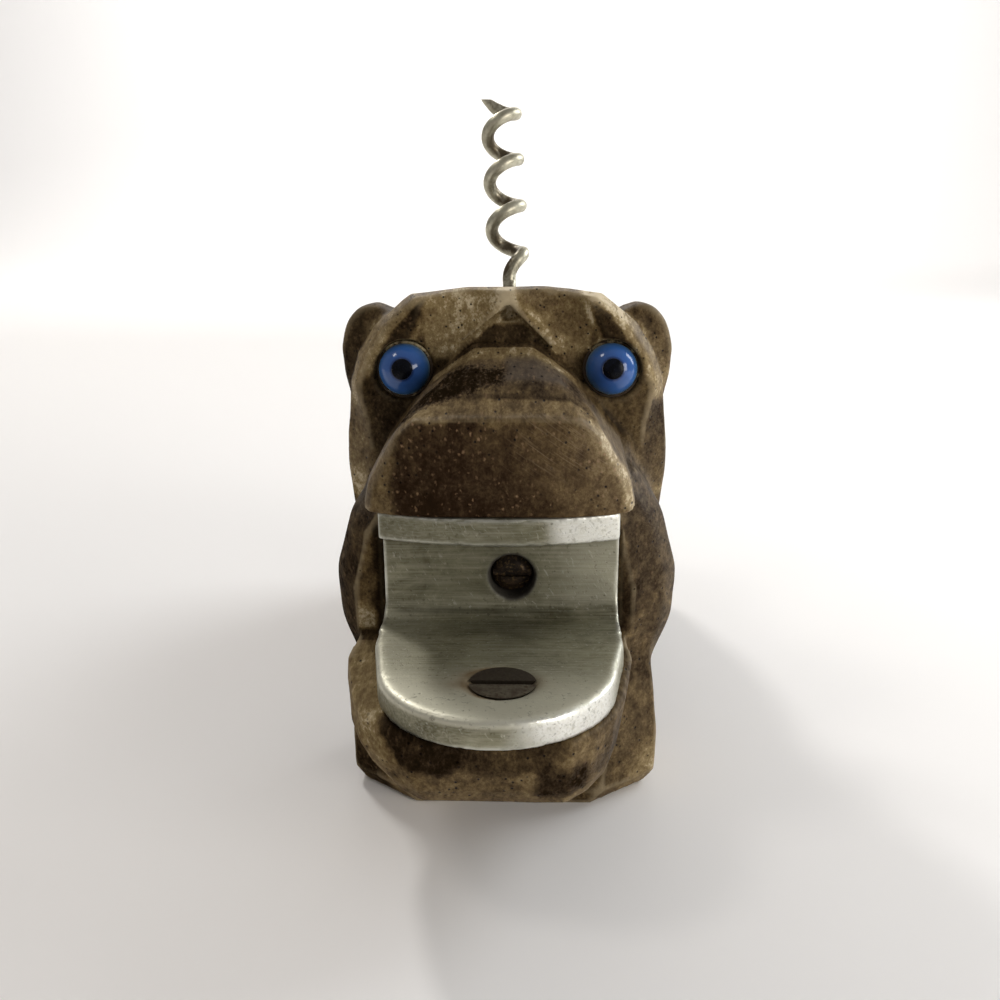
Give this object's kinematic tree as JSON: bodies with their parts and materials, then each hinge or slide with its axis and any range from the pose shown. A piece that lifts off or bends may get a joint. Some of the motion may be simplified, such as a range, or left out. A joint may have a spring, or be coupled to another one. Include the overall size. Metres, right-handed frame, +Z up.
{
  "type": "bottle opener with corkscrew",
  "caption": "Carved wooden bulldog with an aluminium cap-lifting mouth, blue glass eyes and a steel corkscrew worm for a tail.",
  "frame": {"origin": "on the table, midway along, across and under the whole object", "axes": "-Y the way the dog looks, +X to the right of someone who faces it, +Z up"},
  "size_m": [0.0534, 0.1292, 0.1037],
  "materials": {
    "wood": "hand carved and worn, oiled brown",
    "mouth_metal": "brushed across its width, scratched, bright edges",
    "dark_steel": "darkened, a little rusted",
    "blue_glass": "polished, milky blue",
    "black_glass": "polished, black",
    "putty": "dry and crumbly",
    "worm_steel": "dull grey, brown in its turns"
  },
  "bodies": {
    "root": {"carved_body": "wood", "mouth_plate": "mouth_metal", "lip_screw": "dark_steel", "back_screw": "dark_steel", "left_eye": "blue_glass", "right_eye": "blue_glass", "left_pupil": "black_glass", "right_pupil": "black_glass", "left_eye_putty": "putty", "right_eye_putty": "putty", "left_eye_stem": "dark_steel", "right_eye_stem": "dark_steel", "corkscrew": "worm_steel"}
  },
  "joints": []
}
